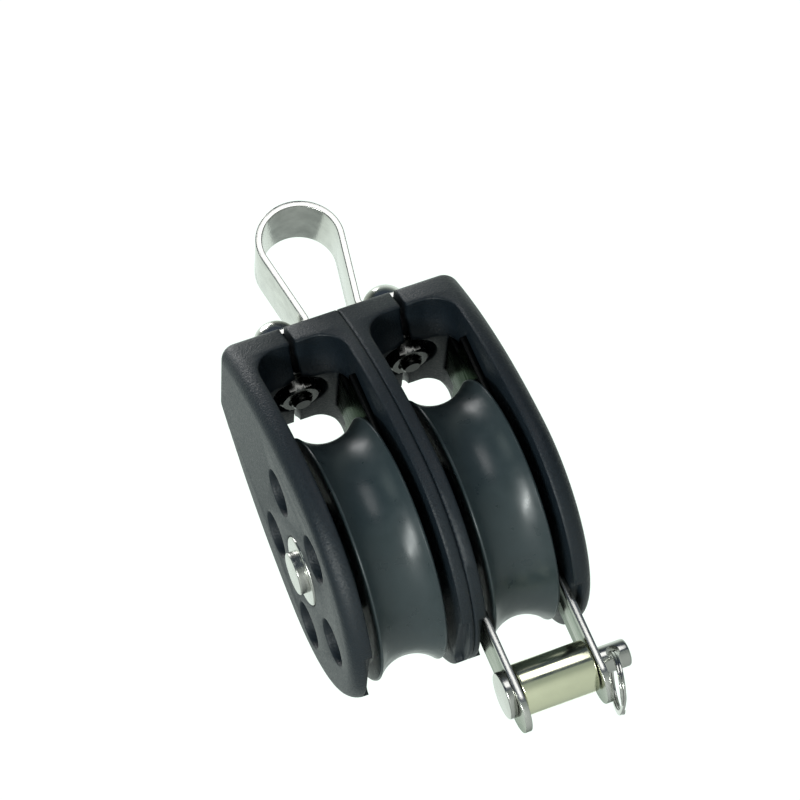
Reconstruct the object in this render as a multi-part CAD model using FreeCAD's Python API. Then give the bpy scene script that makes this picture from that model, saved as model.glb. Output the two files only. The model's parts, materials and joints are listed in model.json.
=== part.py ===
import FreeCAD, Part
import math
import os

# Double side-by-side sheave block with a fixed strip eye at the head and a
# becket under the right-hand sheave.  Millimetres, +Z up (the load line),
# X along the axle, front face towards -Y.  The origin is the centre of the
# head eye; the sections below are written about the axle and moved at the end.

V = FreeCAD.Vector

# ---- driving dimensions -------------------------------------------------
EYE_Z = 59.3            # head eye centre above the axle
BAY_X = 10.6            # centre of each sheave bay from the middle plane
BAY_HALF = 8.35         # half width between the moulded walls of a bay
HALF_W = 22.8           # half of the width over both outer cheeks
SEAM = 0.06             # half of the joint between the two inner cheeks
SLIT_HALF = 0.65        # half of the slit between two head halves
CHEEK_R = 24.3          # cheek radius about the axle
HEAD_Z = 42.2           # top of the head
HEAD_HALF = 9.4         # half depth of the head top before its corners
HEAD_CORNER = 3.1
SIDE_TANGENT = 84.0     # where the circle runs into the side curve, degrees
THROAT_Z = 32.7         # ceiling of the rope throat
THROAT_CORNER = 5.0     # where the ceiling runs into the walls
SCOOP_R = 11.0          # radius of the scoop in front of the throat
SCOOP_Y = -13.5
SCOOP_Z = 25.5
SCOOP_CORNER = 5.5
BACK_SCOOP_Y = 19.0     # the same scoop behind, which is shallower
HOLE_PITCH_R = 14.6     # lightening holes about the axle
HOLE_R = 4.5
HOLE_DEPTH = 3.0        # blind, they stop short of the side plate
FACE_ROUND = 3.0        # edge rounding of the outer faces
RAIL_ROUND = 0.3

AXLE_R = 4.0
AXLE_FLANGE_R = 6.4
AXLE_BOSS_R = 3.9
AXLE_SEAT = 0.8         # depth of the flange seat in the outer cheek

SHEAVE_R = 22.5
SHEAVE_HALF = 6.3
GROOVE_R = 19.9         # sheave radius at the bottom of the rope groove
GROOVE_HALF = 5.5
HUB_HALF = 6.45
BUSH_R = 6.2
RUN_FIT = 0.05
WASHER_T = 0.45

PLATE_IN = 7.05          # face of a side plate from the middle of its bay
PLATE_T = 1.25          # stainless side plates
PLATE_BACK = 0.05       # from the plate to the wall behind it
PLATE_HALF = 12.5
SHOULDER_Z = 27.3       # the plate narrows to its tongue above this
TONGUE_HALF = 6.2
PLATE_TOP = 36.0
ARM_HALF = 4.6          # becket arms, the tails of the right-hand plates
ARM_END = 42.0
NOTCH_HALF = 8.2        # notch for a becket arm in the foot of every cheek
NOTCH_DEPTH = 1.3
NOTCH_Z = -21.8

BECKET_Z = -34.5
PIN_R = 2.5
PIN_HEAD_R = 4.3
PIN_HEAD_T = 1.4
PIN_END = 24.6
PIN_CROSS_X = 21.6
SPACER_R = 4.7
RING_R = 5.2
RING_WIRE_R = 0.5
RING_HANG = 4.9         # ring centre below the cross hole
RING_TILT = 12.0

STRIP_T = 1.2
STRIP_HALF = 5.8
EYE_R = 7.0
FOOT_BEND_R = 1.1
FOOT_BEND_X = 6.2
FOOT_END = 17.3

SCREW_R = 2.0
SCREW_HEAD_R = 4.3
SCREW_HEAD_H = 4.4
SCREW_END = 30.4
NUT_AF = 7.0
NUT_T = 3.0
NUT_Z = 31.6            # underside of the nut
NUT_POCKET_R = 5.6      # round recess for the nut and a box spanner
SCREW_WASHER_T = 0.6


def yz_point(x, r, deg):
    a = math.radians(deg)
    return V(x, r * math.sin(a), r * math.cos(a))


def cylinder_x(x0, x1, r, y=0.0, z=0.0):
    return Part.makeCylinder(r, x1 - x0, V(x0, y, z), V(1, 0, 0))


def cylinder_z(z0, z1, r, x=0.0, y=0.0):
    return Part.makeCylinder(r, z1 - z0, V(x, y, z0), V(0, 0, 1))


def tube_x(x0, x1, r_out, r_in):
    return cylinder_x(x0, x1, r_out).cut(cylinder_x(x0 - 1, x1 + 1, r_in))


def revolve_x(points, x_mid=0.0):
    """Solid of revolution about the axle from (x, r) points."""
    pts = [V(x_mid + x, 0, r) for x, r in points]
    pts.append(pts[0])
    face = Part.Face(Part.makePolygon(pts))
    return face.revolve(V(0, 0, 0), V(1, 0, 0), 360)


def prism_x(wire, x0, x1):
    """Extrude a wire drawn at x = 0 from x0 to x1."""
    face = Part.Face(wire)
    face.translate(V(x0, 0, 0))
    return face.extrude(V(x1 - x0, 0, 0))


def cheek_prism(x0, x1):
    """Circular about the axle, then gently curved sides up to the head."""
    a0 = math.radians(SIDE_TANGENT)
    uy = math.sin(a0)
    uz = math.cos(a0)
    dot = HEAD_HALF * uy + HEAD_Z * uz
    square = HEAD_HALF ** 2 + HEAD_Z ** 2
    side_r = (square - 2 * CHEEK_R * dot + CHEEK_R ** 2) / (2 * (CHEEK_R - dot))
    cy = (CHEEK_R - side_r) * uy
    cz = (CHEEK_R - side_r) * uz
    t0 = math.atan2(CHEEK_R * uz - cz, CHEEK_R * uy - cy)
    t1 = math.atan2(HEAD_Z - cz, HEAD_HALF - cy)
    tm = (t0 + t1) / 2
    low = V(0, 0, -CHEEK_R)
    right = V(0, CHEEK_R * uy, CHEEK_R * uz)
    left = V(0, -right.y, right.z)
    right_mid = V(0, cy + side_r * math.cos(tm), cz + side_r * math.sin(tm))
    left_mid = V(0, -right_mid.y, right_mid.z)
    right_top = V(0, HEAD_HALF, HEAD_Z)
    left_top = V(0, -HEAD_HALF, HEAD_Z)
    edges = [
        Part.Arc(left, low, right).toShape(),
        Part.Arc(right, right_mid, right_top).toShape(),
        Part.makeLine(right_top, left_top),
        Part.Arc(left_top, left_mid, left).toShape(),
    ]
    solid = prism_x(Part.Wire(edges), x0, x1)
    corners = []
    for e in solid.Edges:
        b = e.BoundBox
        if b.ZMin > HEAD_Z - 0.01 and b.XLength > 0.01 and b.YLength < 0.01:
            corners.append(e)
    return solid.makeFillet(HEAD_CORNER, corners)


def throat(bay):
    """Arched rope throat of one bay, cut from front to back."""
    w = BAY_HALF
    c = THROAT_CORNER
    k = c * (1 - math.sqrt(0.5))
    top = THROAT_Z
    p = [V(bay - w, 0, 0), V(bay - w, 0, top - c), V(bay - w + c, 0, top),
         V(bay + w - c, 0, top), V(bay + w, 0, top - c), V(bay + w, 0, 0)]
    edges = [
        Part.makeLine(p[0], p[1]),
        Part.Arc(p[1], V(bay - w + k, 0, top - k), p[2]).toShape(),
        Part.makeLine(p[2], p[3]),
        Part.Arc(p[3], V(bay + w - k, 0, top - k), p[4]).toShape(),
        Part.makeLine(p[4], p[5]),
        Part.makeLine(p[5], p[0]),
    ]
    face = Part.Face(Part.Wire(edges))
    face.translate(V(0, -30, 0))
    return face.extrude(V(0, 60, 0))


def scoop_tool(bay, y):
    """Wheel-shaped cutter with rounded rims that opens the throat's mouth."""
    h = BAY_HALF
    c = SCOOP_CORNER
    k = c * (1 - math.sqrt(0.5))
    p = [
        V(bay - h, y, SCOOP_Z),
        V(bay - h, y, SCOOP_Z + SCOOP_R - c),
        V(bay - h + c, y, SCOOP_Z + SCOOP_R),
        V(bay + h - c, y, SCOOP_Z + SCOOP_R),
        V(bay + h, y, SCOOP_Z + SCOOP_R - c),
        V(bay + h, y, SCOOP_Z),
    ]
    m1 = V(bay - h + k, y, SCOOP_Z + SCOOP_R - k)
    m2 = V(bay + h - k, y, SCOOP_Z + SCOOP_R - k)
    edges = [
        Part.makeLine(p[0], p[1]),
        Part.Arc(p[1], m1, p[2]).toShape(),
        Part.makeLine(p[2], p[3]),
        Part.Arc(p[3], m2, p[4]).toShape(),
        Part.makeLine(p[4], p[5]),
        Part.makeLine(p[5], p[0]),
    ]
    face = Part.Face(Part.Wire(edges))
    return face.revolve(V(0, y, SCOOP_Z), V(1, 0, 0), 360)


def plate_outline(clear, arm):
    """Side plate about the axle: round below, with a narrower tongue that
    goes up into the head, and a tail that is the becket arm when arm is True."""
    r = PLATE_HALF + clear
    a = ARM_HALF + clear
    t = TONGUE_HALF + clear
    shoulder = SHOULDER_Z + clear
    top = PLATE_TOP + clear
    end = -ARM_END - clear
    right = V(0, r, 0)
    left = V(0, -r, 0)
    edges = []
    if arm:
        join = -math.sqrt(r * r - a * a)
        s = math.radians(225) / 2
        mid_r = V(0, r * math.sin(s), r * math.cos(s))
        mid_l = V(0, -mid_r.y, mid_r.z)
        jr = V(0, a, join)
        jl = V(0, -a, join)
        edges.append(Part.Arc(left, mid_l, jl).toShape())
        edges.append(Part.makeLine(jl, V(0, -a, end + a)))
        tip = Part.Arc(V(0, -a, end + a), V(0, 0, end), V(0, a, end + a))
        edges.append(tip.toShape())
        edges.append(Part.makeLine(V(0, a, end + a), jr))
        edges.append(Part.Arc(jr, mid_r, right).toShape())
    else:
        edges.append(Part.Arc(left, V(0, 0, -r), right).toShape())
    rise = [right, V(0, r, shoulder), V(0, t, shoulder), V(0, t, top),
            V(0, -t, top), V(0, -t, shoulder), V(0, -r, shoulder), left]
    for p, q in zip(rise, rise[1:]):
        edges.append(Part.makeLine(p, q))
    return Part.Wire(edges)


def tongue_slot(bay, away):
    """Slot in the head web, against the wall, for a side plate's tongue."""
    face = bay + away * (PLATE_IN - 0.05)
    back = bay + away * (PLATE_IN + PLATE_T + PLATE_BACK)
    lo, hi = sorted((face, back))
    return prism_x(plate_outline(0.2, False), lo, hi)


def arm_notch(wall, away):
    """Notch for a becket arm, with rounded corners, in the foot of a cheek."""
    lo, hi = sorted((wall, wall + away * NOTCH_DEPTH))
    box = Part.makeBox(hi - lo, 2 * NOTCH_HALF, 20, V(lo, -NOTCH_HALF, NOTCH_Z - 20))
    corners = [e for e in box.Edges if e.BoundBox.ZMin > NOTCH_Z - 0.01
               and e.BoundBox.YLength < 0.01]
    return box.makeFillet(1.5, corners)


def nut_recess(bay):
    """Round recess in the throat's ceiling for the nut and its washer."""
    top = NUT_Z + NUT_T + SCREW_WASHER_T
    return cylinder_z(THROAT_Z - 8, top, NUT_POCKET_R, bay)


def filleted(shape, radius, picker):
    edges = [e for e in shape.Edges if picker(e)]
    return shape.makeFillet(radius, edges)


def on_plane_x(x):
    def pick(e):
        b = e.BoundBox
        return abs(b.XMin - x) < 1e-4 and abs(b.XMax - x) < 1e-4
    return pick


def cheek(side, outer):
    """One moulded cheek with its half of the head web."""
    bay = side * BAY_X
    if outer:
        x_back = side * HALF_W
        x_wall = side * (BAY_X + BAY_HALF)
        x_slit = side * (BAY_X + SLIT_HALF)
        back_round = FACE_ROUND
    else:
        x_back = side * SEAM
        x_wall = side * (BAY_X - BAY_HALF)
        x_slit = side * (BAY_X - SLIT_HALF)
        back_round = RAIL_ROUND
    lo, hi = sorted((x_back, x_wall))
    body = cheek_prism(lo, hi)
    body = filleted(body, back_round, on_plane_x(x_back))
    lo, hi = sorted((x_wall, x_slit))
    over = Part.makeBox(hi - lo, 60, 60, V(lo, -30, THROAT_Z - THROAT_CORNER))
    web = cheek_prism(lo, hi).common(over)
    shape = body.fuse(web).cut(throat(bay))
    shape = shape.cut(scoop_tool(bay, SCOOP_Y)).cut(scoop_tool(bay, BACK_SCOOP_Y))
    away = 1 if x_back > x_wall else -1
    shape = shape.cut(tongue_slot(bay, away)).cut(arm_notch(x_wall, away))
    shape = shape.cut(cylinder_x(-60, 60, AXLE_R + 0.05))
    shape = shape.cut(cylinder_z(20, 50, SCREW_R + 0.15, bay))
    shape = shape.cut(nut_recess(bay))
    if outer:
        for k in range(5):
            p = yz_point(0, HOLE_PITCH_R, 36 + 72 * k)
            lo, hi = sorted((side * (HALF_W - HOLE_DEPTH), side * (HALF_W + 5)))
            shape = shape.cut(cylinder_x(lo, hi, HOLE_R, p.y, p.z))
        lo, hi = sorted((side * (HALF_W - AXLE_SEAT), side * (HALF_W + 2)))
        shape = shape.cut(cylinder_x(lo, hi, AXLE_FLANGE_R + 0.25))
    return shape.removeSplitter()


def sheave(side):
    """Rope sheave: round groove, rounded rims, thinner web inside the rim."""
    bay = side * BAY_X
    h = SHEAVE_HALF
    g = GROOVE_HALF
    lip = SHEAVE_R - 0.35
    rim = [(h - 0.42, SHEAVE_R), (h - 0.12, SHEAVE_R - 0.16), (h, SHEAVE_R - 0.45),
           (h, 19.2), (h - 1.0, 17.8), (h - 1.0, 10.4), (HUB_HALF, 9.2),
           (HUB_HALF, BUSH_R)]
    right = [V(bay + x, 0, r) for x, r in rim]
    left = [V(bay - x, 0, r) for x, r in rim]
    groove = Part.Arc(V(bay - g, 0, lip), V(bay, 0, GROOVE_R), V(bay + g, 0, lip))
    edges = [groove.toShape(), Part.makeLine(right[-1], left[-1])]
    for flank, s in ((right, 1), (left, -1)):
        chain = [V(bay + s * g, 0, lip)] + flank
        for p, q in zip(chain, chain[1:]):
            edges.append(Part.makeLine(p, q))
    face = Part.Face(Part.Wire(Part.__sortEdges__(edges)))
    return face.revolve(V(0, 0, 0), V(1, 0, 0), 360)


def bush(side):
    x = side * BAY_X
    return tube_x(x - HUB_HALF, x + HUB_HALF, BUSH_R, AXLE_R + RUN_FIT)


def thrust_washers(side):
    x = side * BAY_X
    out = []
    for s in (-1, 1):
        a = x + s * (HUB_HALF + 0.07)
        b = a + s * WASHER_T
        lo, hi = sorted((a, b))
        out.append(tube_x(lo, hi, 8.2, AXLE_R + 0.1))
    return Part.makeCompound(out)


def side_plate(side, outer, arm):
    bay = side * BAY_X
    away = side if outer else -side
    a = bay + away * PLATE_IN
    b = a + away * PLATE_T
    lo, hi = sorted((a, b))
    plate = prism_x(plate_outline(0.0, arm), lo, hi)
    plate = plate.cut(cylinder_x(-60, 60, AXLE_R + 0.08))
    if arm:
        plate = plate.cut(cylinder_x(-60, 60, PIN_R + RUN_FIT, 0, BECKET_Z))
    return plate


def axle():
    """Flanged axle: the head end with its raised round boss is on the left."""
    x0 = -(HALF_W - AXLE_SEAT)
    flange = [(x0, 0), (x0, AXLE_FLANGE_R), (x0 - 0.75, AXLE_FLANGE_R),
              (x0 - 1.05, AXLE_FLANGE_R - 0.35), (x0 - 1.05, AXLE_BOSS_R),
              (x0 - 2.25, AXLE_BOSS_R), (x0 - 2.5, AXLE_BOSS_R - 0.25),
              (x0 - 2.5, 0)]
    head = revolve_x(flange)
    shank = cylinder_x(x0, HALF_W - 6.2, AXLE_R)
    thread = cylinder_x(HALF_W - 6.2, HALF_W - 0.8, AXLE_R - 1.2)
    return head.fuse(shank).fuse(thread).removeSplitter()


def axle_nut():
    """Sleeve nut on the right-hand end of the axle, same flange and boss."""
    x0 = HALF_W - AXLE_SEAT
    pts = [(x0, AXLE_R), (x0, AXLE_FLANGE_R), (x0 + 0.75, AXLE_FLANGE_R),
           (x0 + 1.05, AXLE_FLANGE_R - 0.35), (x0 + 1.05, AXLE_BOSS_R),
           (x0 + 2.25, AXLE_BOSS_R), (x0 + 2.5, AXLE_BOSS_R - 0.25),
           (x0 + 2.5, 0), (x0 + 0.2, 0), (x0 + 0.2, AXLE_R - 1.15),
           (HALF_W - 6.1, AXLE_R - 1.15), (HALF_W - 6.1, AXLE_R)]
    return revolve_x(pts)


def eye_strap():
    """Stainless strip bent to an eye with two feet on the head."""
    t = STRIP_T / 2
    rm = EYE_R + t
    zf = HEAD_Z + 0.05 + t
    c1 = (FOOT_BEND_X, zf + FOOT_BEND_R)
    d = math.hypot(c1[0], EYE_Z - c1[1])
    base = math.atan2(c1[1] - EYE_Z, c1[0])
    line = base - math.asin((rm + FOOT_BEND_R) / d)
    normal = line + math.pi / 2

    def side_points(off):
        """Key points of the right half at offset off (+ is outwards)."""
        r0 = rm + off
        r1 = FOOT_BEND_R - off
        p0 = (0.0, EYE_Z + r0)
        am = (math.pi / 2 + normal) / 2
        p0m = (r0 * math.cos(am), EYE_Z + r0 * math.sin(am))
        p1 = (r0 * math.cos(normal), EYE_Z + r0 * math.sin(normal))
        back = normal + math.pi
        p2 = (c1[0] + r1 * math.cos(back), c1[1] + r1 * math.sin(back))
        end = -math.pi / 2 + 2 * math.pi
        bm = (back + end) / 2
        p2m = (c1[0] + r1 * math.cos(bm), c1[1] + r1 * math.sin(bm))
        p3 = (c1[0], c1[1] - r1)
        p4 = (FOOT_END, c1[1] - r1)
        return p0, p0m, p1, p2, p2m, p3, p4

    def v(p, s=1):
        return V(s * p[0], 0, p[1])

    edges = []
    o = side_points(t)
    i = side_points(-t)
    edges.append(Part.Arc(v(o[2], -1), v(o[0]), v(o[2])).toShape())
    edges.append(Part.Arc(v(i[2], -1), v(i[0]), v(i[2])).toShape())
    for s in (-1, 1):
        for q in (o, i):
            edges.append(Part.makeLine(v(q[2], s), v(q[3], s)))
            edges.append(Part.Arc(v(q[3], s), v(q[4], s), v(q[5], s)).toShape())
            edges.append(Part.makeLine(v(q[5], s), v(q[6], s)))
        edges.append(Part.makeLine(v(o[6], s), v(i[6], s)))
    wire = Part.Wire(Part.__sortEdges__(edges))
    face = Part.Face(wire)
    face.translate(V(0, -STRIP_HALF, 0))
    strap = face.extrude(V(0, 2 * STRIP_HALF, 0))
    for s in (-1, 1):
        strap = strap.cut(cylinder_z(40, 46, SCREW_R + 0.2, s * BAY_X))
    corner = []
    for e in strap.Edges:
        b = e.BoundBox
        if abs(b.XMin) > FOOT_END - 0.01 and b.ZLength > 1.0 and b.YLength < 0.01:
            corner.append(e)
    return strap.makeFillet(2.6, corner)


def screw(x):
    """Round-headed screw; the head sits on the foot of the eye strap."""
    z0 = HEAD_Z + 0.05 + STRIP_T
    r = SCREW_HEAD_R
    h = SCREW_HEAD_H
    lip = 0.5
    arc_r = (r * r + (h - lip) ** 2) / (2 * (h - lip))
    top = V(x, 0, z0 + h)
    rim = V(x + r, 0, z0 + lip)
    a = math.asin(r / arc_r) / 2
    mid = V(x + arc_r * math.sin(a), 0, z0 + h - arc_r * (1 - math.cos(a)))
    edges = [
        Part.makeLine(V(x, 0, SCREW_END), V(x + SCREW_R - 0.4, 0, SCREW_END)),
        Part.makeLine(V(x + SCREW_R - 0.4, 0, SCREW_END),
                      V(x + SCREW_R, 0, SCREW_END + 0.4)),
        Part.makeLine(V(x + SCREW_R, 0, SCREW_END + 0.4), V(x + SCREW_R, 0, z0)),
        Part.makeLine(V(x + SCREW_R, 0, z0), V(x + r, 0, z0)),
        Part.makeLine(V(x + r, 0, z0), rim),
        Part.Arc(rim, mid, top).toShape(),
        Part.makeLine(top, V(x, 0, SCREW_END)),
    ]
    face = Part.Face(Part.Wire(edges))
    body = face.revolve(V(x, 0, 0), V(0, 0, 1), 360)
    slot = Part.makeBox(2 * r + 2, 1.1, 1.5, V(x - r - 1, -0.55, z0 + h - 1.2))
    return body.cut(slot)


def head_nut(x):
    z0 = NUT_Z
    rc = NUT_AF / math.sqrt(3)
    pts = []
    for k in range(7):
        a = math.radians(60 * k)
        pts.append(V(x + rc * math.cos(a), rc * math.sin(a), z0))
    prism = Part.Face(Part.makePolygon(pts)).extrude(V(0, 0, NUT_T))
    cone_up = Part.makeCone(rc + 2.6, rc - 0.35, NUT_T, V(x, 0, z0))
    cone_dn = Part.makeCone(rc - 0.35, rc + 2.6, NUT_T, V(x, 0, z0))
    nut = prism.common(cone_up).common(cone_dn)
    return nut.cut(cylinder_z(z0 - 1, z0 + NUT_T + 1, SCREW_R + 0.02, x))


def screw_washer(x):
    z0 = NUT_Z + NUT_T
    w = cylinder_z(z0, z0 + SCREW_WASHER_T - 0.05, 4.4, x)
    return w.cut(cylinder_z(z0 - 1, z0 + 2, SCREW_R + 0.15, x))


def becket_pin():
    arm_left = BAY_X - PLATE_IN - PLATE_T
    x1 = arm_left - 0.05
    x0 = x1 - PIN_HEAD_T
    r = PIN_HEAD_R
    pts = [(x0, 0), (x0, r - 0.3), (x0 + 0.3, r), (x1 - 0.2, r), (x1, r - 0.2),
           (x1, PIN_R), (PIN_END - 0.5, PIN_R), (PIN_END, PIN_R - 0.5), (PIN_END, 0)]
    pin = revolve_x(pts)
    pin.translate(V(0, 0, BECKET_Z))
    hole = Part.makeCylinder(1.25, 12, V(PIN_CROSS_X, -6, BECKET_Z), V(0, 1, 0))
    return pin.cut(hole)


def becket_spacer():
    x0 = BAY_X - PLATE_IN + 0.2
    x1 = BAY_X + PLATE_IN - 0.2
    tube = tube_x(x0, x1, SPACER_R, PIN_R + RUN_FIT)
    ends = [e for e in tube.Edges if len(e.Vertexes) == 1
            and abs(e.BoundBox.ZMax - SPACER_R) < 0.01]
    tube = tube.makeFillet(0.35, ends)
    tube.translate(V(0, 0, BECKET_Z))
    return tube


def split_ring():
    ring = Part.makeTorus(RING_R, RING_WIRE_R, V(PIN_CROSS_X, 0, BECKET_Z - RING_HANG),
                          V(1, 0, 0))
    ring.rotate(V(PIN_CROSS_X, 0, BECKET_Z), V(0, 1, 0), RING_TILT)
    return ring


def nodes():
    out = {}
    out["left_outer_cheek"] = cheek(-1, True)
    out["left_inner_cheek"] = cheek(-1, False)
    out["right_inner_cheek"] = cheek(1, False)
    out["right_outer_cheek"] = cheek(1, True)
    out["left_sheave"] = sheave(-1)
    out["right_sheave"] = sheave(1)
    out["left_sheave_bush"] = bush(-1)
    out["right_sheave_bush"] = bush(1)
    out["left_thrust_washers"] = thrust_washers(-1)
    out["right_thrust_washers"] = thrust_washers(1)
    out["axle"] = axle()
    out["axle_nut"] = axle_nut()
    out["left_outer_side_plate"] = side_plate(-1, True, False)
    out["left_inner_side_plate"] = side_plate(-1, False, False)
    out["right_inner_side_plate"] = side_plate(1, False, True)
    out["right_outer_side_plate"] = side_plate(1, True, True)
    out["eye_strap"] = eye_strap()
    pair = (-BAY_X, BAY_X)
    out["head_screws"] = Part.makeCompound([screw(x) for x in pair])
    out["head_nuts"] = Part.makeCompound([head_nut(x) for x in pair])
    out["head_washers"] = Part.makeCompound([screw_washer(x) for x in pair])
    out["becket_pin"] = becket_pin()
    out["becket_spacer"] = becket_spacer()
    out["split_ring"] = split_ring()
    return out


def main():
    os.makedirs("parts", exist_ok=True)
    for name, shape in nodes().items():
        shape = shape.copy()
        shape.translate(V(0, 0, -EYE_Z))
        shape.exportStep("parts/" + name + ".step")
        b = shape.BoundBox
        print(name, shape.isValid(), len(shape.Solids), round(shape.Volume, 1),
              [round(v, 2) for v in (b.XMin, b.XMax, b.YMin, b.YMax, b.ZMin, b.ZMax)])


main()
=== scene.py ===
import json
import math

import bmesh
import bpy
from mathutils import Matrix, Vector

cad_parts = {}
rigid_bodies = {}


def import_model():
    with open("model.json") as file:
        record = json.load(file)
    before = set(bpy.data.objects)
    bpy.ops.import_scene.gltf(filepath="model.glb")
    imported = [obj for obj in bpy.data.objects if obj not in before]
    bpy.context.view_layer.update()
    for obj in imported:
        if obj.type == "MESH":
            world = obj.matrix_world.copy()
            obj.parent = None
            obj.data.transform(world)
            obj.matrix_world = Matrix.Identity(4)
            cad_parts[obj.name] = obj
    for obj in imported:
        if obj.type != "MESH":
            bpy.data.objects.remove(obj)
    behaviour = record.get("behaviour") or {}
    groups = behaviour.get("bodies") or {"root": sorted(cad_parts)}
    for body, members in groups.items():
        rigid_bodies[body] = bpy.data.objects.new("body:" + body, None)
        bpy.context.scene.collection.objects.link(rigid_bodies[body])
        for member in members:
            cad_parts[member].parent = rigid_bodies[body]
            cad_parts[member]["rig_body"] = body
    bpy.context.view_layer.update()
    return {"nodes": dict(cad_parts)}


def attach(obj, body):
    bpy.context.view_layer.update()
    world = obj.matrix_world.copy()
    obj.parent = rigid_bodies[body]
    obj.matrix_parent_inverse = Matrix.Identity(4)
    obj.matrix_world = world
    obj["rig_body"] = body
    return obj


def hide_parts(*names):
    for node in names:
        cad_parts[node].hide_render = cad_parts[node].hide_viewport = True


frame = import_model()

bl_info = {
    "name": "Double sheave block with becket",
    "version": (1, 0, 0),
    "blender": (4, 5, 0),
    "location": "3D View > Sidebar > Block",
    "description": "Builds the visual model of a double sheave block",
    "category": "Add Mesh",
}

# Places in the row frame, in millimetres.  The origin is the head eye.
AXLE_Z = -59.3
BAY_X = 10.6
PLATE_IN = 7.05
HALF_W = 22.8
HEAD_Z = 42.2 + AXLE_Z
BECKET_Z = -34.5 + AXLE_Z
SIDES = (("left", -1), ("right", 1))

SHEAVE_R, SHEAVE_HALF = 22.5, 6.3
GROOVE_R, GROOVE_HALF = 19.9, 5.5
HUB_HALF, HUB_WEB_HALF = 6.45, 5.3
BUSH_R, BUSH_BORE = 6.2, 4.05
WASHER_R, WASHER_BORE = 8.2, 4.1
WASHER_FROM, WASHER_TO = 6.52, 6.97     # from the middle of the bay
AXLE_R, AXLE_THREAD_R = 4.0, 2.8
FLANGE_R, BOSS_R, BOSS_END = 6.4, 3.9, 2.5
FLANGE_SEAT = HALF_W - 0.8
PLATE_T = 1.25
EYE_R, STRIP_T, STRIP_HALF = 7.0, 1.2, 5.8
STRIP_GAP = 0.05                        # between the head and the strap's feet
FOOT_BEND_X, FOOT_BEND_R = 6.2, 1.1
FOOT_END, FOOT_CORNER = 17.3, 2.6
SCREW_R, SCREW_END = 2.0, 30.4 + AXLE_Z
DOME_R, DOME_H, DOME_LIP = 4.3, 4.4, 0.5
NUT_FLATS, NUT_T, NUT_Z = 7.0, 3.0, 31.6 + AXLE_Z
LOCK_WASHER_R, LOCK_WASHER_Z, LOCK_WASHER_T = 4.4, 34.6 + AXLE_Z, 0.55
PIN_R, PIN_END = 2.5, 24.6
PIN_HEAD_R, PIN_HEAD_T = 4.3, 1.4
CROSS_X, CROSS_R = 21.6, 1.25
SPACER_R = 4.7
RING_R, RING_HANG, RING_TILT = 5.2, 4.9, 12.0
JOINT_HALF = 0.00008                    # metres; the inner cheeks' faces lie inside it


# ---- meshes -------------------------------------------------------------

def make_object(name, bm, sharp=30.0):
    """A mesh object from bm, smooth except where it turns by more than sharp."""
    bmesh.ops.recalc_face_normals(bm, faces=bm.faces)
    mesh = bpy.data.meshes.new(name)
    bm.to_mesh(mesh)
    bm.free()
    mesh.polygons.foreach_set("use_smooth", [True] * len(mesh.polygons))
    mesh.set_sharp_from_angle(angle=math.radians(sharp))
    obj = bpy.data.objects.new(name, mesh)
    bpy.context.scene.collection.objects.link(obj)
    return obj


def finish_piece(obj, node, material):
    """Give a new piece its material and its place among the bodies."""
    obj.data.materials.clear()
    obj.data.materials.append(material)
    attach(obj, frame["nodes"][node]["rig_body"])
    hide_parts(node)
    return obj


def soften(points, steps=5):
    """Round the corners of a profile of (x, r, rounding) points."""
    out = []
    n = len(points)
    for k, p in enumerate(points):
        c = Vector((p[0], p[1]))
        rad = p[2] if len(p) > 2 else 0.0
        if rad <= 0:
            out.append((c.x, c.y))
            continue
        a = Vector(points[(k - 1) % n][:2]) - c
        b = Vector(points[(k + 1) % n][:2]) - c
        turn = a.angle(b)
        cut = rad / math.tan(turn / 2)
        p0 = c + a.normalized() * cut
        p1 = c + b.normalized() * cut
        mid = c + (a.normalized() + b.normalized()).normalized() * (rad / math.sin(turn / 2))
        v0 = p0 - mid
        v1 = p1 - mid
        sweep = v0.angle_signed(v1)
        for s in range(steps + 1):
            q = v0.copy()
            q.rotate(Matrix.Rotation(-sweep * s / steps, 2))
            out.append((mid.x + q.x, mid.y + q.y))
    return out


def lathe(points, centre, axis="X", steps=128, closed=False):
    """Surface of revolution from (along, radius) points in millimetres."""
    bm = bmesh.new()
    rings = []
    for along, rad in points:
        if rad < 1e-6:
            rings.append([bm.verts.new(place(along, 0, 0, centre, axis))])
            continue
        ring = []
        for k in range(steps):
            a = 2 * math.pi * k / steps
            ring.append(bm.verts.new(place(along, rad, a, centre, axis)))
        rings.append(ring)
    pairs = list(zip(rings, rings[1:]))
    if closed:
        pairs.append((rings[-1], rings[0]))
    for one, two in pairs:
        for k in range(steps):
            j = (k + 1) % steps
            if len(one) == 1 and len(two) == 1:
                break
            if len(one) == 1:
                bm.faces.new((one[0], two[j], two[k]))
            elif len(two) == 1:
                bm.faces.new((one[k], one[j], two[0]))
            else:
                bm.faces.new((one[k], one[j], two[j], two[k]))
    return bm


def place(along, rad, angle, centre, axis):
    """A point of a turned surface about centre, in metres."""
    c = rad * math.cos(angle)
    s = rad * math.sin(angle)
    if axis == "X":
        v = Vector((along, c, s))
    else:
        v = Vector((c, s, along))
    return (v + Vector(centre)) * 0.001


def sweep(stations):
    """Skin closed sections (lists of points) and cap both ends."""
    bm = bmesh.new()
    loops = [[bm.verts.new(Vector(p) * 0.001) for p in loop] for loop in stations]
    n = len(loops[0])
    for one, two in zip(loops, loops[1:]):
        for k in range(n):
            j = (k + 1) % n
            bm.faces.new((one[k], one[j], two[j], two[k]))
    bm.faces.new(loops[0])
    bm.faces.new(list(reversed(loops[-1])))
    return bm


def merge(into, part):
    """Add the bmesh part to the bmesh into, and free part."""
    mesh = bpy.data.meshes.new("part")
    part.to_mesh(mesh)
    part.free()
    into.from_mesh(mesh)
    bpy.data.meshes.remove(mesh)


def flat_points(points):
    """Give every profile point a rounding, zero where it has none."""
    return [(*p, 0.0)[:3] for p in points]


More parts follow.
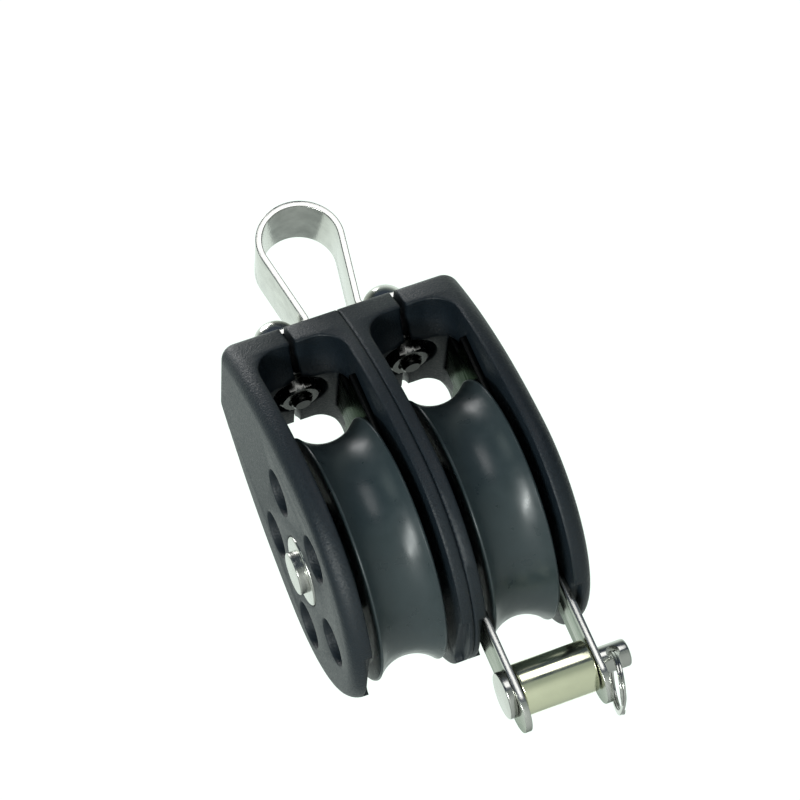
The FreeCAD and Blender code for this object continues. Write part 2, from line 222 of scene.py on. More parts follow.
def rounded_section(half_u, half_v, corner, steps=4):
    """Rounded rectangle as (u, v) points."""
    out = []
    for cu, cv, start in ((1, 1, 0), (-1, 1, 90), (-1, -1, 180), (1, -1, 270)):
        for s in range(steps + 1):
            a = math.radians(start + 90 * s / steps)
            out.append((cu * (half_u - corner) + corner * math.cos(a),
                        cv * (half_v - corner) + corner * math.sin(a)))
    return out


def cut_with(obj, cutters):
    """Cut helper solids out of obj and remove them again."""
    for tool in cutters:
        mod = obj.modifiers.new("cut", "BOOLEAN")
        mod.operation = "DIFFERENCE"
        mod.solver = "EXACT"
        mod.object = tool
    bpy.context.view_layer.update()
    graph = bpy.context.evaluated_depsgraph_get()
    mesh = bpy.data.meshes.new_from_object(obj.evaluated_get(graph))
    obj.modifiers.clear()
    obj.data = mesh
    mesh.set_sharp_from_angle(angle=math.radians(30))
    for tool in cutters:
        bpy.data.objects.remove(tool)
    return obj


def rod_cutter(radius, length, centre, axis):
    """A cylinder in millimetres to cut with, along X, Y or Z."""
    turn = {"X": Matrix.Rotation(math.radians(90), 4, "Y"),
            "Y": Matrix.Rotation(math.radians(90), 4, "X"),
            "Z": Matrix.Identity(4)}[axis]
    bm = bmesh.new()
    bmesh.ops.create_cone(bm, cap_ends=True, segments=48, radius1=radius * 0.001,
                          radius2=radius * 0.001, depth=length * 0.001)
    bmesh.ops.transform(bm, matrix=Matrix.Translation(Vector(centre) * 0.001) @ turn,
                        verts=bm.verts)
    return make_object("cutter", bm)


def moulded_copy(node, name, edge):
    """The frame's own solid with its sharp edges rounded by edge millimetres,
    except along the joint between the two inner cheeks."""
    bm = bmesh.new()
    bm.from_mesh(frame["nodes"][node].data)
    bmesh.ops.remove_doubles(bm, verts=bm.verts, dist=1e-6)
    bmesh.ops.dissolve_limit(bm, angle_limit=math.radians(0.12), verts=bm.verts,
                             edges=bm.edges)
    sharp = [e for e in bm.edges
             if len(e.link_faces) == 2 and e.calc_face_angle(0) > math.radians(32)
             and not all(abs(v.co.x) < JOINT_HALF for v in e.verts)]
    if edge > 0:
        bmesh.ops.bevel(bm, geom=sharp, offset=edge * 0.001, segments=2, profile=0.5,
                        affect="EDGES", clamp_overlap=True)
    for vert in bm.verts:
        if abs(vert.co.x) < JOINT_HALF:
            vert.co.x = math.copysign(0.00001, vert.co.x)
    return make_object(name, bm, 38.0)


# ---- materials ----------------------------------------------------------

def new_material(name, colour, rough, metal=0.0):
    mat = bpy.data.materials.new(name)
    mat.use_nodes = True
    mat.diffuse_color = (*colour, 1.0)
    shader = mat.node_tree.nodes["Principled BSDF"]
    shader.inputs["Base Color"].default_value = (*colour, 1.0)
    shader.inputs["Roughness"].default_value = rough
    shader.inputs["Metallic"].default_value = metal
    return mat


def add_node(mat, kind, **values):
    node = mat.node_tree.nodes.new(kind)
    for key, value in values.items():
        if key in node.inputs:
            node.inputs[key].default_value = value
        else:
            setattr(node, key, value)
    return node


def wire(mat, a, out, b, into):
    mat.node_tree.links.new(a.outputs[out], b.inputs[into])


def noise(mat, scale, detail=3.0, stretch=(1.0, 1.0, 1.0)):
    """Noise in object coordinates, stretched along an axis for a grain."""
    place_node = add_node(mat, "ShaderNodeTexCoord")
    mapping = add_node(mat, "ShaderNodeMapping")
    mapping.inputs["Scale"].default_value = stretch
    tex = add_node(mat, "ShaderNodeTexNoise", Scale=scale, Detail=detail)
    wire(mat, place_node, "Object", mapping, "Vector")
    wire(mat, mapping, "Vector", tex, "Vector")
    return tex


def vary(mat, tex, socket, low, high):
    """Let a noise drive a value between low and high."""
    ramp = add_node(mat, "ShaderNodeMapRange")
    ramp.inputs["From Min"].default_value = 0.3
    ramp.inputs["From Max"].default_value = 0.7
    ramp.inputs["To Min"].default_value = low
    ramp.inputs["To Max"].default_value = high
    wire(mat, tex, "Fac", ramp, "Value")
    wire(mat, ramp, "Result", mat.node_tree.nodes["Principled BSDF"], socket)


def tint(mat, tex, one, two):
    """Mix two close colours by a noise."""
    mix = add_node(mat, "ShaderNodeMix", data_type="RGBA")
    mix.inputs[6].default_value = (*one, 1.0)
    mix.inputs[7].default_value = (*two, 1.0)
    wire(mat, tex, "Fac", mix, "Factor")
    mat.node_tree.links.new(mix.outputs[2],
                            mat.node_tree.nodes["Principled BSDF"].inputs["Base Color"])


def relief(mat, layers, rounding=0.0):
    """Bump from several (noise, depth in metres) layers, over edges rounded
    by the given radius."""
    last = None
    if rounding > 0:
        last = add_node(mat, "ShaderNodeBevel", Radius=rounding)
        last.samples = 8
    for tex, depth in layers:
        bump = add_node(mat, "ShaderNodeBump", Strength=1.0, Distance=depth)
        wire(mat, tex, "Fac", bump, "Height")
        if last is not None:
            wire(mat, last, "Normal", bump, "Normal")
        last = bump
    wire(mat, last, "Normal", mat.node_tree.nodes["Principled BSDF"], "Normal")


def paint_shade_by_height(mat, low, high, at_low, at_high):
    """Paint shade onto a material by height: between low and high (metres) the colour
    goes from at_low to at_high times its own value; this is painted shade, not a finish."""
    shader = mat.node_tree.nodes["Principled BSDF"]
    here = add_node(mat, "ShaderNodeTexCoord")
    split = add_node(mat, "ShaderNodeSeparateXYZ")
    ramp = add_node(mat, "ShaderNodeMapRange")
    ramp.inputs["From Min"].default_value = low
    ramp.inputs["From Max"].default_value = high
    ramp.inputs["To Min"].default_value = at_low
    ramp.inputs["To Max"].default_value = at_high
    wire(mat, here, "Object", split, "Vector")
    wire(mat, split, "Z", ramp, "Value")
    mix = add_node(mat, "ShaderNodeMix", data_type="RGBA", blend_type="MULTIPLY")
    mix.inputs["Factor"].default_value = 1.0
    link = shader.inputs["Base Color"].links[0]
    mat.node_tree.links.new(link.from_socket, mix.inputs[6])
    mat.node_tree.links.new(ramp.outputs["Result"], mix.inputs[7])
    mat.node_tree.links.new(mix.outputs[2], shader.inputs["Base Color"])


def shade(colour, k):
    return tuple(min(1.0, c * k) for c in colour)


def cheek_material(look):
    mat = new_material("cheek_nylon", look.cheek_colour, 0.5)
    fine = noise(mat, 2600.0, 4.0)
    broad = noise(mat, 260.0, 3.0)
    tint(mat, fine, shade(look.cheek_colour, 0.3), shade(look.cheek_colour, 2.0))
    vary(mat, fine, "Roughness", 0.42, 0.6)
    relief(mat, ((fine, 0.00009), (broad, 0.00003)), 0.0008)
    return mat


def sheave_material(look):
    mat = new_material("sheave_acetal", look.sheave_colour, 0.3)
    rings = noise(mat, 900.0, 3.0, (3.0, 0.05, 0.05))
    scuff = noise(mat, 320.0, 4.0)
    tint(mat, scuff, shade(look.sheave_colour, 0.85), shade(look.sheave_colour, 1.18))
    vary(mat, scuff, "Roughness", 0.26, 0.38)
    relief(mat, ((rings, 0.000006), (scuff, 0.000008)))
    return mat


def polished_material(look):
    mat = new_material("polished_stainless", look.steel_colour, 0.12, 1.0)
    smear = noise(mat, 420.0, 4.0)
    lines = noise(mat, 1500.0, 2.0, (1.0, 0.06, 1.0))
    tint(mat, smear, shade(look.steel_colour, 0.5), shade(look.steel_colour, 1.12))
    vary(mat, smear, "Roughness", 0.12, 0.26)
    relief(mat, ((lines, 0.0000015), (smear, 0.00002)))
    return mat


def satin_material(look):
    mat = new_material("satin_stainless", shade(look.steel_colour, 0.94), 0.3, 1.0)
    lines = noise(mat, 1800.0, 3.0, (1.0, 1.0, 0.04))
    smear = noise(mat, 350.0, 3.0)
    tint(mat, smear, shade(look.steel_colour, 0.84), shade(look.steel_colour, 1.0))
    vary(mat, lines, "Roughness", 0.18, 0.3)
    relief(mat, ((lines, 0.000004), (smear, 0.000005)))
    return mat


def plate_material(look):
    mat = satin_material(look)
    mat.name = "satin_plate_painted_shade"
    edge_on = mat.node_tree.nodes["Principled BSDF"].inputs["Specular Tint"]
    edge_on.default_value = (0.42, 0.46, 0.42, 1.0)
    # Painted shade: above 78 mm below the eye the plates' colour drops to 4 % of itself,
    # standing in for the shade inside the throat.
    paint_shade_by_height(mat, -0.084, -0.078, 1.0, 0.04)
    return mat


def screw_material(look):
    mat = polished_material(look)
    mat.name = "polished_screw_painted_shade"
    # Painted shade: below 24 mm under the eye the screws' colour drops to 12 % of itself,
    # standing in for the shade in the pockets round the threaded ends.
    paint_shade_by_height(mat, -0.024, -0.017, 0.12, 1.0)
    return mat


# Painted shade: the nuts and head washers are steel at about a sixth of its colour, standing
# in for the shade of the pockets they sit in.
def shaded_nut_material(look):
    mat = new_material("nut_steel_painted_shade", shade(look.steel_colour, 0.16), 0.22, 1.0)
    smear = noise(mat, 700.0, 3.0)
    tint(mat, smear, shade(look.steel_colour, 0.1), shade(look.steel_colour, 0.3))
    vary(mat, smear, "Roughness", 0.16, 0.34)
    relief(mat, ((smear, 0.000012),))
    return mat


def turned_material(look):
    mat = new_material("turned_stainless", shade(look.steel_colour, 0.8), 0.2, 1.0)
    rings = noise(mat, 1600.0, 3.0, (1.0, 0.03, 0.03))
    smear = noise(mat, 300.0, 3.0)
    tint(mat, smear, shade(look.steel_colour, 0.68), shade(look.steel_colour, 0.86))
    vary(mat, smear, "Roughness", 0.16, 0.3)
    relief(mat, ((rings, 0.000004),))
    return mat


def spacer_material(look):
    mat = new_material("nickel_tube", look.spacer_colour, 0.16, 1.0)
    rings = noise(mat, 1600.0, 3.0, (1.0, 0.03, 0.03))
    smear = noise(mat, 260.0, 3.0)
    tint(mat, smear, shade(look.spacer_colour, 0.88), shade(look.spacer_colour, 1.05))
    vary(mat, smear, "Roughness", 0.1, 0.22)
    relief(mat, ((rings, 0.000003),))
    return mat


def bush_material(look):
    mat = new_material("bronze_bush", (0.5, 0.36, 0.2), 0.35, 1.0)
    smear = noise(mat, 500.0, 3.0)
    vary(mat, smear, "Roughness", 0.28, 0.45)
    relief(mat, ((smear, 0.000006),))
    return mat


def washer_material(look):
    mat = new_material("white_acetal", (0.66, 0.66, 0.63), 0.4)
    smear = noise(mat, 700.0, 3.0)
    vary(mat, smear, "Roughness", 0.34, 0.5)
    relief(mat, ((smear, 0.000008),))
    return mat


MAKERS = {
    "cheek": cheek_material,
    "sheave": sheave_material,
    "polished": polished_material,
    "plate": plate_material,
    "screw": screw_material,
    "nut": shaded_nut_material,
    "turned": turned_material,
    "spacer": spacer_material,
    "bush": bush_material,
    "washer": washer_material,
}
MADE = {}


def material(key):
    if key not in MADE:
        MADE[key] = MAKERS[key](bpy.context.scene.block_look)
    return MADE[key]


# ---- settings -----------------------------------------------------------

class BlockLook(bpy.types.PropertyGroup):
    cheek_colour: bpy.props.FloatVectorProperty(
        name="Cheek colour", description="Colour of the moulded cheeks",
        subtype="COLOR", size=3, min=0.0, max=1.0, default=(0.0032, 0.0078, 0.0125))
    sheave_colour: bpy.props.FloatVectorProperty(
        name="Sheave colour", description="Colour of the two sheaves",
        subtype="COLOR", size=3, min=0.0, max=1.0, default=(0.028, 0.041, 0.045))
    steel_colour: bpy.props.FloatVectorProperty(
        name="Steel colour", description="Colour of the stainless parts",
        subtype="COLOR", size=3, min=0.0, max=1.0, default=(0.66, 0.66, 0.62))
    spacer_colour: bpy.props.FloatVectorProperty(
        name="Spacer colour", description="Colour of the becket's spacer tube",
        subtype="COLOR", size=3, min=0.0, max=1.0, default=(0.86, 0.87, 0.62))


class BlockSizes(bpy.types.PropertyGroup):
    cheek_edge: bpy.props.FloatProperty(
        name="Cheek edge rounding", description="Rounding of the moulded edges",
        default=0.00028, min=0.0, max=0.001, unit="LENGTH", precision=5)
    plate_edge: bpy.props.FloatProperty(
        name="Plate edge rounding", description="Deburring of the steel plates",
        default=0.00012, min=0.0, max=0.0005, unit="LENGTH", precision=5)
    thread_pitch: bpy.props.FloatProperty(
        name="Thread pitch", description="Pitch of the head screws",
        default=0.0007, min=0.0003, max=0.002, unit="LENGTH", precision=5)
    floor_drop: bpy.props.FloatProperty(
        name="Floor drop", description="How far the floor lies below the head eye",
        default=0.46, min=0.15, max=2.0, unit="LENGTH")


# ---- pieces -------------------------------------------------------------

class BLOCK_OT_cheeks(bpy.types.Operator):
    """Add the four moulded cheeks"""
    bl_idname = "block.add_cheeks"
    bl_label = "Cheeks"

    def execute(self, context):
        edge = context.scene.block_sizes.cheek_edge * 1000
        for word, _ in SIDES:
            for place_word in ("outer", "inner"):
                node = word + "_" + place_word + "_cheek"
                obj = moulded_copy(node, node + "_moulding", edge)
                finish_piece(obj, node, material("cheek"))
        return {"FINISHED"}


class BLOCK_OT_sheaves(bpy.types.Operator):
    """Add the two round-grooved sheaves with their bushes and washers"""
    bl_idname = "block.add_sheaves"
    bl_label = "Sheaves"

    def execute(self, context):
        for word, side in SIDES:
            centre = (side * BAY_X, 0, AXLE_Z)
            depth = SHEAVE_R - 0.35 - GROOVE_R
            arc = (GROOVE_HALF ** 2 + depth ** 2) / (2 * depth)
            half = math.asin(GROOVE_HALF / arc)
            pts = [(-HUB_HALF, BUSH_R), (-HUB_HALF, 9.2, 0.3), (-HUB_WEB_HALF, 10.4, 0.6),
                   (-HUB_WEB_HALF, 17.8, 0.6), (-SHEAVE_HALF, 19.2, 0.3),
                   (-SHEAVE_HALF, SHEAVE_R, 0.4), (-5.75, SHEAVE_R, 0.12)]
            pts = soften(flat_points(pts))
            for k in range(33):
                a = -half + 2 * half * k / 32
                pts.append((arc * math.sin(a), GROOVE_R + arc * (1 - math.cos(a))))
            pts += [(-x, r) for x, r in reversed(pts) if x < -GROOVE_HALF - 0.01]
            obj = make_object(word + "_sheave_wheel",
                              lathe(pts, centre, steps=192, closed=True), 40.0)
            finish_piece(obj, word + "_sheave", material("sheave"))

            tube = soften([(-HUB_HALF, BUSH_BORE, 0.25), (-HUB_HALF, BUSH_R, 0.1),
                           (HUB_HALF, BUSH_R, 0.1), (HUB_HALF, BUSH_BORE, 0.25)])
            obj = make_object(word + "_bush", lathe(tube, centre, closed=True))
            finish_piece(obj, word + "_sheave_bush", material("bush"))

            bm = bmesh.new()
            for s in (-1, 1):
                lo, hi = sorted((s * WASHER_FROM, s * WASHER_TO))
                ring = soften([(lo, WASHER_BORE, 0.1), (lo, WASHER_R, 0.12),
                               (hi, WASHER_R, 0.12), (hi, WASHER_BORE, 0.1)])
                merge(bm, lathe(ring, centre, closed=True))
            obj = make_object(word + "_washers", bm)
            finish_piece(obj, word + "_thrust_washers", material("washer"))
        return {"FINISHED"}


class BLOCK_OT_axle(bpy.types.Operator):
    """Add the flanged axle and its sleeve nut"""
    bl_idname = "block.add_axle"
    bl_label = "Axle"

    def execute(self, context):
        x = FLANGE_SEAT
        flange = [(x, FLANGE_R, 0.1), (x + 1.05, FLANGE_R, 0.4), (x + 1.05, 4.15, 0.12),
                  (x + 0.95, BOSS_R, 0.05), (x + BOSS_END, BOSS_R, 0.28), (x + BOSS_END, 0)]
        centre = (0, 0, AXLE_Z)
        mirror = [(-p[0], *p[1:]) for p in flange]
        step = HALF_W - 6.2
        shank = [(x, 0), (x, AXLE_THREAD_R, 0.3), (step, AXLE_THREAD_R),
                 (step, AXLE_R, 0.3), (-x, AXLE_R)]
        pts = soften(flat_points(shank + mirror))
        obj = make_object("axle_pin", lathe(pts, centre))
        finish_piece(obj, "axle", material("turned"))
        step, bore = HALF_W - 6.1, AXLE_THREAD_R + 0.05
        nut = [(x + 0.2, 0), (x + 0.2, bore), (step, bore, 0.2),
               (step, AXLE_R, 0.2), (x, AXLE_R)]
        pts = soften(flat_points(nut + flange))
        obj = make_object("axle_sleeve_nut", lathe(pts, centre))
        finish_piece(obj, "axle_nut", material("turned"))
        return {"FINISHED"}


class BLOCK_OT_side_plates(bpy.types.Operator):
    """Add the stainless side plates, two of them with becket arms"""
    bl_idname = "block.add_side_plates"
    bl_label = "Side plates"

    def execute(self, context):
        edge = context.scene.block_sizes.plate_edge * 1000
        for word, _ in SIDES:
            for place_word in ("outer", "inner"):
                node = word + "_" + place_word + "_side_plate"
                obj = moulded_copy(node, node + "_steel", edge)
                finish_piece(obj, node, material("plate"))
        return {"FINISHED"}


class BLOCK_OT_eye_strap(bpy.types.Operator):
    """Add the bent stainless eye strap"""
    bl_idname = "block.add_eye_strap"
    bl_label = "Eye strap"

    def execute(self, context):
        t = STRIP_T / 2
        ring = EYE_R + t
        bend = FOOT_BEND_R
        foot_z = HEAD_Z + STRIP_GAP + t
        cx, cz = FOOT_BEND_X, foot_z + bend
        d = math.hypot(cx, cz)
        line = math.atan2(cz, cx) - math.asin((ring + bend) / d)
        normal = line + math.pi / 2
        path = []
        for k in range(33):
            a = math.pi / 2 + (normal - math.pi / 2) * k / 32
            path.append((ring * math.cos(a), ring * math.sin(a),
                         math.cos(a), math.sin(a)))
        back = normal + math.pi
        for k in range(17):
            a = back + (1.5 * math.pi - back) * k / 16
            path.append((cx + bend * math.cos(a), cz + bend * math.sin(a),
                         -math.cos(a), -math.sin(a)))
        end, corner = FOOT_END, FOOT_CORNER
        for k in range(1, 5):
            path.append((cx + (end - corner - cx) * k / 4, foot_z, 0.0, 1.0))
        for k in range(1, 13):
            a = math.radians(90) * k / 12
            path.append((end - corner + (corner - 0.02) * math.sin(a), foot_z, 0.0, 1.0))
        left = [(-x, z, -nx, nz) for x, z, nx, nz in reversed(path[1:])]
        loops = []
        for x, z, nx, nz in left + path:
            half = STRIP_HALF
            run = abs(x) - (end - corner)
            if run > 0 and z < foot_z + 0.01:
                half = STRIP_HALF - corner + math.sqrt(max(corner ** 2 - run ** 2, 0))
            section = rounded_section(half, t, 0.16)
            loops.append([(x + nx * v, u, z + nz * v) for u, v in section])
        obj = make_object("eye_strap_strip", sweep(loops), 35.0)
        cut_with(obj, [rod_cutter(SCREW_R + 0.2, 4, (s * BAY_X, 0, foot_z), "Z")
                       for s in (-1, 1)])
        finish_piece(obj, "eye_strap", material("polished"))
        return {"FINISHED"}


def threaded_end(bottom, top, radius, pitch, depth, steps=40):
    """Thread as a ribbed cylinder from bottom to top, in millimetres."""
    rows = int((top - bottom) / pitch * 10) + 1
    loops = []
    for j in range(rows + 1):
        z = bottom + (top - bottom) * j / rows
        loop = []
        for k in range(steps):
            a = 2 * math.pi * k / steps
            turn = (z / pitch - k / steps) % 1.0
            rib = 1 - abs(2 * turn - 1) * 1.25
            r = radius - depth * (1 - max(0.0, min(1.0, rib + 0.1)))
            r = min(r, radius - 0.55 + (z - bottom) * 1.0, radius)
            loop.append((r * math.cos(a), r * math.sin(a), z))
        loops.append(loop)
    return loops


class BLOCK_OT_head_fasteners(bpy.types.Operator):
    """Add the head screws with their nuts and washers"""
    bl_idname = "block.add_head_fasteners"
    bl_label = "Head fasteners"

    def execute(self, context):
        pitch = context.scene.block_sizes.thread_pitch * 1000
        under = HEAD_Z + STRIP_GAP + STRIP_T
        rise = DOME_H - DOME_LIP
        ball = (DOME_R ** 2 + rise ** 2) / (2 * rise)
        start = math.asin(DOME_R / ball)
        screws, nuts, washers = bmesh.new(), bmesh.new(), bmesh.new()
        for _, side in SIDES:
            x = side * BAY_X
            loops = threaded_end(SCREW_END, SCREW_END + 6.0, SCREW_R, pitch, 0.4)
            shank = [(SCREW_R * math.cos(2 * math.pi * k / 40),
                      SCREW_R * math.sin(2 * math.pi * k / 40)) for k in range(40)]
            for z in (SCREW_END + 6.2, under + 0.3):
                loops.append([(a, b, z) for a, b in shank])
            merge(screws, sweep([[(a + x, b, z) for a, b, z in loop] for loop in loops]))

            dome = [(under, 0), (under, DOME_R, 0.12), (under + DOME_LIP, DOME_R)]
            dome = soften(flat_points(dome))
            for k in range(1, 25):
                a = start * (1 - k / 24)
                dome.append((under + DOME_H - ball * (1 - math.cos(a)), ball * math.sin(a)))
            head = make_object("head", lathe(dome, (x, 0, 0), "Z", 96), 40.0)
            slot = bmesh.new()
            bmesh.ops.create_cube(slot, size=1.0)
            size = Matrix.Diagonal(Vector((0.02, 0.0011, 0.0024, 1)))
            spot = Matrix.Translation(Vector((x, 0, under + DOME_H)) * 0.001)
            bmesh.ops.transform(slot, matrix=spot @ size, verts=slot.verts)
            cut_with(head, [make_object("slot", slot)])
            screws.from_mesh(head.data)
            bpy.data.objects.remove(head)

            add_nut(nuts, x, NUT_Z, NUT_FLATS, NUT_T, SCREW_R)
            low, high = LOCK_WASHER_Z, LOCK_WASHER_Z + LOCK_WASHER_T
            ring = soften([(low, SCREW_R + 0.15, 0.1), (low, LOCK_WASHER_R, 0.12),
                           (high, LOCK_WASHER_R, 0.12), (high, SCREW_R + 0.15, 0.1)])
            merge(washers, lathe(ring, (x, 0, 0), "Z", 64, closed=True))
        obj = make_object("head_screw_pair", screws, 40.0)
        finish_piece(obj, "head_screws", material("screw"))
        # The nuts and washers below take the steel darkened with painted shade.
        obj = make_object("head_nut_pair", nuts, 25.0)
        finish_piece(obj, "head_nuts", material("nut"))
        obj = make_object("head_washer_pair", washers)
        finish_piece(obj, "head_washers", material("nut"))
        return {"FINISHED"}


def add_nut(bm, x, z, flats, height, bore):
    """Hexagon nut with its corners chamfered, added to bm."""
    apothem = flats / 2
    steps = 72
    rows = []
    levels = ((0.0, apothem * 0.97), (0.3, None), (height - 0.3, None),
              (height, apothem * 0.97))
    for dz, cap in levels:
        row = []
        for k in range(steps):
            a = 2 * math.pi * k / steps
            wrapped = (a + math.pi / 6) % (math.pi / 3) - math.pi / 6
            hexagon = apothem / math.cos(wrapped)
            r = hexagon if cap is None else min(hexagon, cap)
            row.append((r * math.cos(a + math.pi / 6), r * math.sin(a + math.pi / 6), dz))
        rows.append(row)
    inner = []
    for dz, r in ((height, bore + 0.35), (height - 0.35, bore + 0.02),
                  (0.35, bore + 0.02), (0.0, bore + 0.35)):
        inner.append([(r * math.cos(2 * math.pi * k / steps + math.pi / 6),
                       r * math.sin(2 * math.pi * k / steps + math.pi / 6), dz)
                      for k in range(steps)])
    rows += inner
    loops = [[bm.verts.new(Vector((x + a, b, z + c)) * 0.001) for a, b, c in row]
             for row in rows]
    count = len(loops)
    for j in range(count):
        one, two = loops[j], loops[(j + 1) % count]
        for k in range(steps):
            m = (k + 1) % steps
            bm.faces.new((one[k], one[m], two[m], two[k]))


class BLOCK_OT_becket(bpy.types.Operator):
    """Add the becket's clevis pin, spacer tube and split ring"""
    bl_idname = "block.add_becket"
    bl_label = "Becket"

    def execute(self, context):
        centre = (0, 0, BECKET_Z)
        x1 = BAY_X - PLATE_IN - PLATE_T - 0.05
        x0 = x1 - PIN_HEAD_T
        pts = [(x0, 0), (x0, PIN_HEAD_R, 0.32), (x1, PIN_HEAD_R, 0.2), (x1, PIN_R, 0.1),
               (PIN_END, PIN_R, 0.5), (PIN_END, 0)]
        pts = soften(flat_points(pts))
        obj = make_object("becket_clevis_pin", lathe(pts, centre, steps=96))
        cut_with(obj, [rod_cutter(CROSS_R, 12, (CROSS_X, 0, BECKET_Z), "Y")])
        finish_piece(obj, "becket_pin", material("turned"))

        gap = PLATE_IN - 0.2
        lo, hi = BAY_X - gap, BAY_X + gap
        bore = PIN_R + 0.05
        tube = soften([(lo, bore, 0.2), (lo, SPACER_R, 0.35), (hi, SPACER_R, 0.35),
                       (hi, bore, 0.2)])
        obj = make_object("becket_spacer_tube", lathe(tube, centre, closed=True))
        finish_piece(obj, "becket_spacer", material("spacer"))

        loops = []
        turns, steps = 1.96, 150
        for k in range(steps + 1):
            a = 2 * math.pi * turns * k / steps + math.radians(200)
            shift = 0.25 * max(-1.0, min(1.0, (k / steps - 0.5) * 30))
            taper = min(1.0, 0.55 + min(k, steps - k) * 0.12)
            section = rounded_section(0.24 * taper, 0.46 * taper, 0.12 * taper, 3)
            loop = []
            for u, v in section:
                r = RING_R + v
                loop.append((shift + u, r * math.sin(a), r * math.cos(a) - RING_HANG))
            loops.append(loop)
        bm = sweep(loops)
        tilt = Matrix.Rotation(math.radians(RING_TILT), 4, "Y")
        spot = Matrix.Translation(Vector((CROSS_X, 0, BECKET_Z)) * 0.001)
        bmesh.ops.transform(bm, matrix=spot @ tilt, verts=bm.verts)
        obj = make_object("split_ring_coil", bm, 35.0)
        finish_piece(obj, "split_ring", material("polished"))
        return {"FINISHED"}


# ---- stage --------------------------------------------------------------

def area_light(name, place_at, target, size, radiance, colour=(1, 1, 1), roll=0.0):
    light = bpy.data.lights.new(name, "AREA")
    light.shape = "RECTANGLE"
    light.size, light.size_y = size
    light.energy = radiance * math.pi * size[0] * size[1]
    light.color = colour
    obj = bpy.data.objects.new(name, light)
    obj.location = place_at
    aim = Vector(target) - Vector(place_at)
    turn = aim.to_track_quat("-Z", "Y").to_matrix()
    turn = turn @ Matrix.Rotation(math.radians(roll), 3, "Z")
    obj.rotation_mode = "QUATERNION"
    obj.rotation_quaternion = turn.to_quaternion()
    bpy.context.scene.collection.objects.link(obj)
    return obj


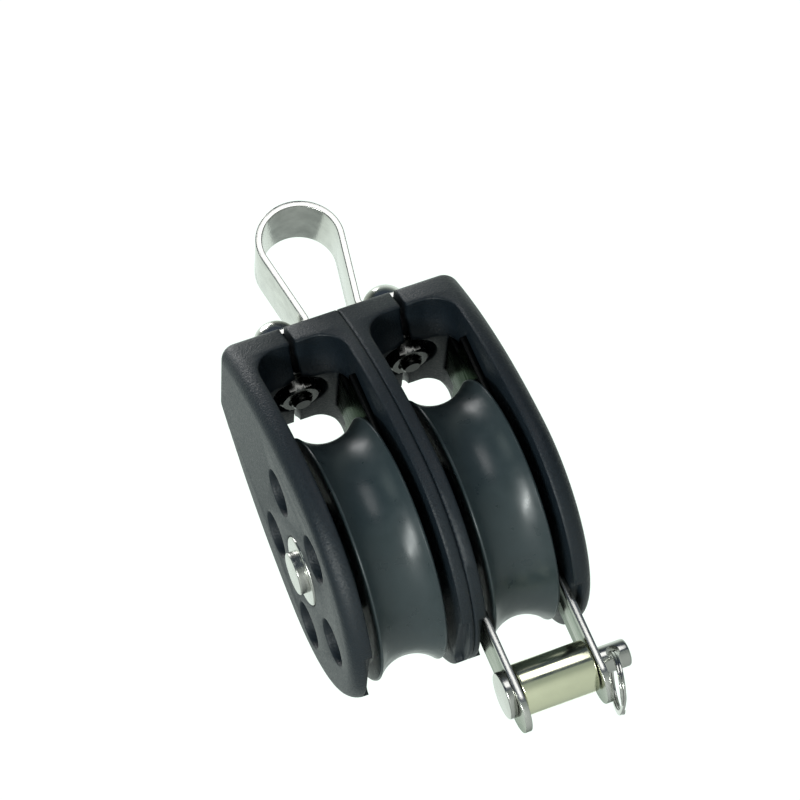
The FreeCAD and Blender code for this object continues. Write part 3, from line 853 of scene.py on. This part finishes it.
class BLOCK_OT_stage(bpy.types.Operator):
    """Add the floor, the soft lights and the camera"""
    bl_idname = "block.add_stage"
    bl_label = "Stage"

    def execute(self, context):
        scene = context.scene
        bm = bmesh.new()
        bmesh.ops.create_grid(bm, x_segments=1, y_segments=1, size=6.0)
        floor = make_object("floor", bm)
        floor.location = (0, 0, -scene.block_sizes.floor_drop)
        mat = new_material("pale_floor", (0.82, 0.82, 0.81), 0.7)
        grain = noise(mat, 40.0, 3.0)
        vary(mat, grain, "Roughness", 0.62, 0.78)
        floor.data.materials.append(mat)

        world = bpy.data.worlds.new("soft_room")
        scene.world = world
        world.use_nodes = True
        tree = world.node_tree
        back = tree.nodes["Background"]
        coord = tree.nodes.new("ShaderNodeTexCoord")
        ramp = tree.nodes.new("ShaderNodeValToRGB")
        along = tree.nodes.new("ShaderNodeVectorMath")
        along.operation = "DOT_PRODUCT"
        along.inputs[1].default_value = (0.21, 0.93, 0.3)
        shift = tree.nodes.new("ShaderNodeMapRange")
        shift.inputs["From Min"].default_value = -1.0
        tree.links.new(coord.outputs["Generated"], along.inputs[0])
        tree.links.new(along.outputs["Value"], shift.inputs["Value"])
        tree.links.new(shift.outputs["Result"], ramp.inputs["Fac"])
        stops = ((0.0, (0.060, 0.078, 0.105)), (0.45, (0.045, 0.060, 0.085)),
                 (0.62, (0.16, 0.19, 0.18)), (0.84, (0.9, 1.0, 0.94)))
        for k, (at, colour) in enumerate(stops):
            if k > 1:
                ramp.color_ramp.elements.new(at)
        for k, (at, colour) in enumerate(stops):
            ramp.color_ramp.elements[k].position = at
            ramp.color_ramp.elements[k].color = (*colour, 1)
        tree.links.new(ramp.outputs["Color"], back.inputs["Color"])
        back.inputs["Strength"].default_value = 1.14

        aim = (0, 0, AXLE_Z * 0.001)
        area_light("front_softbox", (0.145, -0.62, 0.21), aim, (0.26, 0.36), 2.3)
        area_light("strip_light", (-0.42, -0.36, -0.28), aim, (0.05, 0.32), 45.0,
                   (0.95, 1.0, 0.98), 38.0)
        area_light("left_softbox", (-0.30, -0.30, 0.16), (-0.02, 0, -0.03), (0.16, 0.16),
                   1.4, (0.88, 1.0, 0.92))
        area_light("top_softbox", (-0.1, 0.1, 0.6), (0, 0, -0.03), (0.3, 0.25), 6.0)

        lens = bpy.data.cameras.new("view")
        lens.sensor_width = 36.0
        lens.lens = 3824.0 / 800.0 * 36.0
        lens.clip_start, lens.clip_end = 0.05, 20.0
        cam = bpy.data.objects.new("view", lens)
        right = Vector((0.925847, -0.046633, -0.37501))
        down = Vector((-0.314417, 0.455454, -0.832889))
        ahead = Vector((0.20964, 0.889037, 0.407018))
        cam.matrix_world = Matrix((
            (right.x, -down.x, -ahead.x, -0.13808),
            (right.y, -down.y, -ahead.y, -0.61109),
            (right.z, -down.z, -ahead.z, -0.25458 + AXLE_Z * 0.001),
            (0, 0, 0, 1)))
        scene.collection.objects.link(cam)
        scene.camera = cam
        scene.view_settings.view_transform = "Standard"
        return {"FINISHED"}


class BLOCK_PT_panel(bpy.types.Panel):
    """List of the pieces"""
    bl_label = "Sheave block"
    bl_idname = "BLOCK_PT_panel"
    bl_space_type = "VIEW_3D"
    bl_region_type = "UI"
    bl_category = "Block"

    def draw(self, context):
        column = self.layout.column()
        for group in (context.scene.block_look, context.scene.block_sizes):
            for key in group.__annotations__:
                column.prop(group, key)
        for step in STEPS:
            column.operator(step.bl_idname)


STEPS = (
    BLOCK_OT_cheeks,
    BLOCK_OT_sheaves,
    BLOCK_OT_axle,
    BLOCK_OT_side_plates,
    BLOCK_OT_eye_strap,
    BLOCK_OT_head_fasteners,
    BLOCK_OT_becket,
    BLOCK_OT_stage,
)
CLASSES = (BlockLook, BlockSizes, *STEPS, BLOCK_PT_panel)


def register():
    for cls in CLASSES:
        bpy.utils.register_class(cls)
    bpy.types.Scene.block_look = bpy.props.PointerProperty(type=BlockLook)
    bpy.types.Scene.block_sizes = bpy.props.PointerProperty(type=BlockSizes)


def unregister():
    del bpy.types.Scene.block_sizes
    del bpy.types.Scene.block_look
    for cls in reversed(CLASSES):
        bpy.utils.unregister_class(cls)


def main():
    register()
    for step in STEPS:
        area, name = step.bl_idname.split(".")
        getattr(getattr(bpy.ops, area), name)()


if __name__ == "__main__":
    main()
